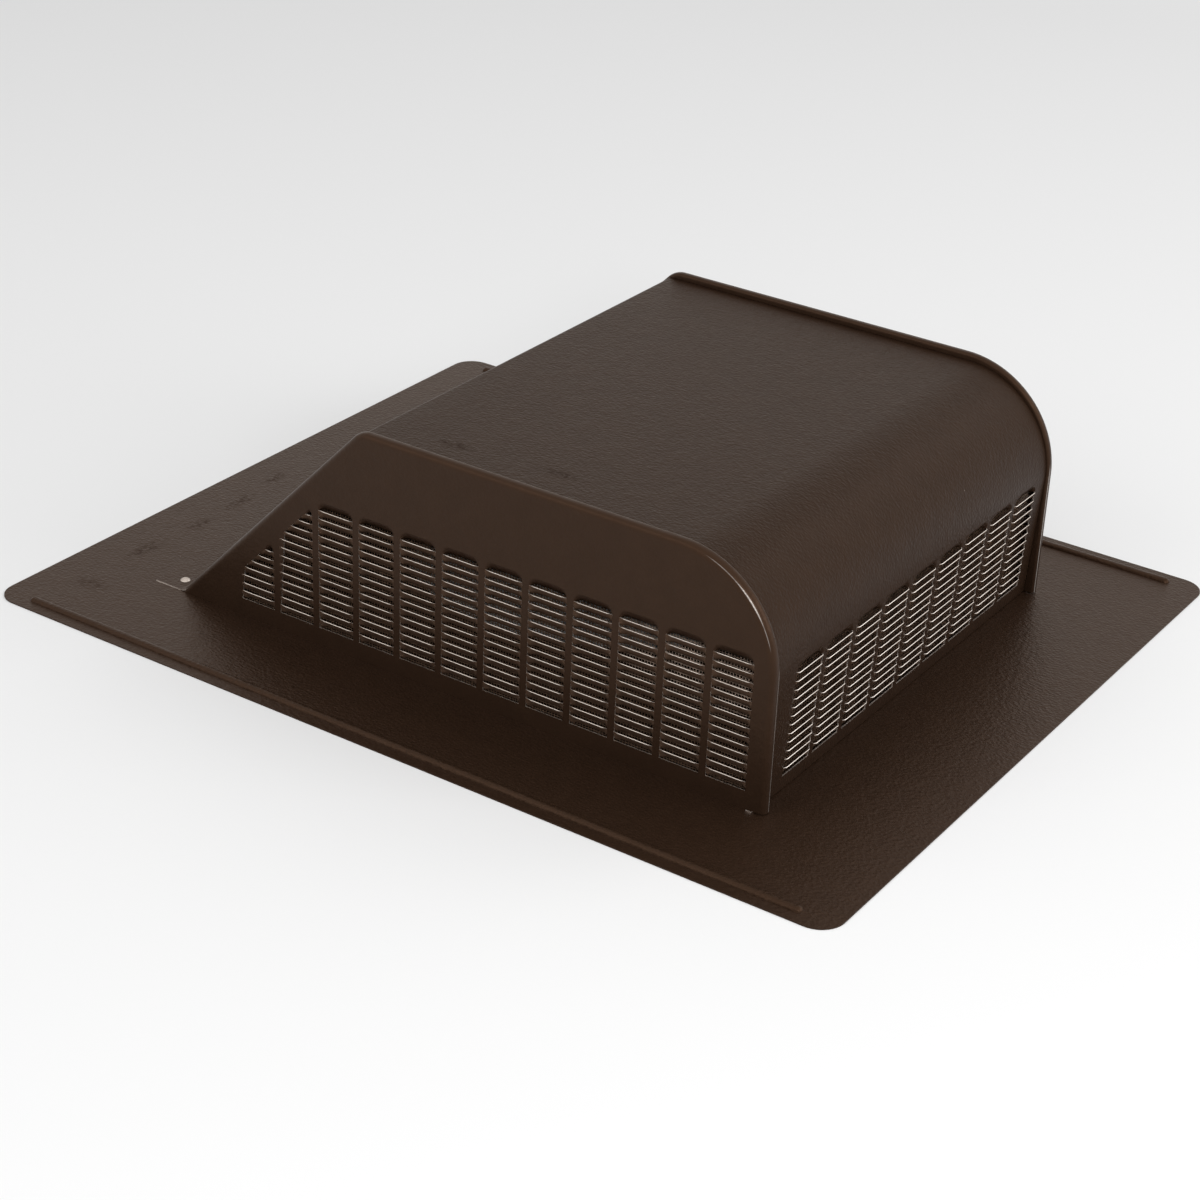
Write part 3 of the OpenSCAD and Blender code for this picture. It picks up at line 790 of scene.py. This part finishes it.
def wirePlaces():
    # middle, length and turn of every wire; a rod stands along Z until it is turned
    back = 3.0 + sheet + cloth["gap"]
    x = halfWidth - back - cloth["wire"]
    frontY = wallFoot[0] - front["cut"] * math.sin(lean) * math.cos(lean) + back + cloth["wire"]
    places = []
    inside = sheet + hood["foldGap"] + seam["slantRise"]

    def slantAt(z):
        return hood["footY"] - inside / math.sin(slope) - z / math.tan(slope)

    rows = int((cloth["top"] - footTop) / cloth["pitch"])
    for row in range(rows):
        z = footTop + (row + 0.5) * cloth["pitch"]
        length = slantAt(z) - frontY
        for s in (-1, 1):
            places.append(((s * (x - cloth["wire"] / 2), frontY + length / 2, z), length, (math.pi / 2, 0, 0)))
        places.append(((0, frontY + cloth["wire"] / 2, z), 2 * x, (0, math.pi / 2, 0)))
    y = frontY + cloth["pitch"] / 2
    while y < slantAt(footTop) - cloth["pitch"]:
        top = min(cloth["top"], (slantAt(0) - y) * math.tan(slope))
        for s in (-1, 1):
            places.append(((s * (x + cloth["wire"] / 2), y, (top + footTop) / 2), top - footTop, (0, 0, 0)))
        y += cloth["pitch"]
    for i in range(int(2 * x / cloth["pitch"])):
        middle = (-x + (i + 0.5) * cloth["pitch"], frontY - cloth["wire"] / 2, (cloth["top"] + footTop) / 2)
        places.append((middle, cloth["top"] - footTop, (0, 0, 0)))
    return places


places = wirePlaces()
screen = newPiece("screen_wires", [p[0] for p in places], [])
screen.data.attributes.new("reach", "FLOAT", "POINT").data.foreach_set("value", [p[1] * mm for p in places])
turns = [angle for p in places for angle in p[2]]
screen.data.attributes.new("turn", "FLOAT_VECTOR", "POINT").data.foreach_set("vector", turns)
growNodes(screen, wireTree(), {"Wire": cloth["wire"] * mm, "Sides": cloth["sides"], "Finish": wire})
settle(screen, "insect_screen")
print("screen made:", len(places), "wires")

# Stage, light and camera
stage = {
    "size": 30.0, "colour": 0.86, "sky": 0.62, "glossColour": (1.0, 0.94, 0.88), "glow": 0.5, "glowFrom": 1.1, "glowTo": 2.6,
}
world = bpy.data.worlds.new("backdrop")
bpy.context.scene.world = world
world.use_nodes = True
tree = world.node_tree
seen = addNode(tree, "ShaderNodeLightPath").outputs
backdrop = sums(tree, "MAXIMUM", seen["Is Camera Ray"], seen["Is Transmission Ray"])
backdrop = sums(tree, "MAXIMUM", backdrop, seen["Is Glossy Ray"])
strength = spread(tree, backdrop, 0.0, 1.0, stage["sky"], 1.0)
warm = addNode(tree, "ShaderNodeMix", {
    "Factor": seen["Is Glossy Ray"], 6: (1, 1, 1, 1), 7: (*stage["glossColour"], 1),
}, data_type="RGBA")
tree.links.new(strength, tree.nodes["Background"].inputs["Strength"])
tree.links.new(warm.outputs[2], tree.nodes["Background"].inputs["Color"])

floorSize = stage["size"] / 2 / mm
floor = newPiece("floor", [
    (-floorSize, -floorSize, -0.05), (floorSize, -floorSize, -0.05),
    (floorSize, floorSize, -0.05), (-floorSize, floorSize, -0.05),
], [(0, 1, 2, 3)])
floorLook, floorShader = newMaterial("floor", {"colour": (stage["colour"],) * 3, "roughness": 0.9})
floorShader.inputs["Specular IOR Level"].default_value = 0.0
# the floor whitens into the backdrop
tree = floorLook.node_tree
away = addNode(tree, "ShaderNodeVectorMath", {
    0: addNode(tree, "ShaderNodeTexCoord").outputs["Object"],
}, operation="LENGTH").outputs["Value"]
glow = spread(tree, away, stage["glowFrom"], stage["glowTo"], 0.0, stage["glow"], soft=True)
tree.links.new(glow, floorShader.inputs["Emission Strength"])
floorShader.inputs["Emission Color"].default_value = (1, 1, 1, 1)
floorLook.cycles.emission_sampling = "NONE"
floor.data.materials.append(floorLook)

# lamps: place and target in metres, size, power
lamps = [
    ("overhead", (-0.3, -0.2, 2.2), (0, 0, 0.05), 2.4, 5.0),
    ("front", (0.4, -2.0, 1.0), (0, -0.1, 0.05), 1.3, 18.0),
    ("right", (1.5, -0.85, 1.35), (0, 0, 0.05), 0.9, 3.0),
    ("left", (-1.8, 0.9, 1.3), (0, 0, 0.05), 1.2, 7.0),
    ("by_camera", (-1.15, -1.05, 0.85), (-0.13, -0.15, 0.09), 0.35, 8.0),
]
for name, place, target, size, power in lamps:
    light = bpy.data.lights.new(name, "AREA")
    light.size = size
    light.energy = power
    thing = bpy.data.objects.new(name, light)
    thing.location = place
    thing.visible_camera = False
    thing.rotation_euler = (Vector(target) - Vector(place)).to_track_quat("-Z", "Y").to_euler()
    bpy.context.scene.collection.objects.link(thing)

# the photograph's own view: angles in degrees, lengths in millimetres
view = {
    "azimuth": -56.779, "elevation": 27.927, "roll": 2.453, "distance": 1277.959,
    "slideRight": -6.627, "slideUp": -4.044, "lens": 79.172,
}
azimuth, elevation, roll = (math.radians(view[k]) for k in ("azimuth", "elevation", "roll"))
back = Vector((
    math.sin(azimuth) * math.cos(elevation), -math.cos(azimuth) * math.cos(elevation), math.sin(elevation)))
level = Vector((math.cos(azimuth), math.sin(azimuth), 0))
upright = back.cross(level)
right = math.cos(roll) * level + math.sin(roll) * upright
up = math.cos(roll) * upright - math.sin(roll) * level
camera = bpy.data.objects.new("camera", bpy.data.cameras.new("camera"))
camera.data.lens = view["lens"]
camera.data.sensor_width = 36
spot = back * view["distance"] + right * view["slideRight"] + up * view["slideUp"]
camera.matrix_world = Matrix.Translation(spot * mm) @ Matrix((right, up, back)).transposed().to_4x4()
bpy.context.scene.collection.objects.link(camera)
bpy.context.scene.camera = camera
bpy.context.scene.view_settings.view_transform = "Standard"

print("stage and camera set")
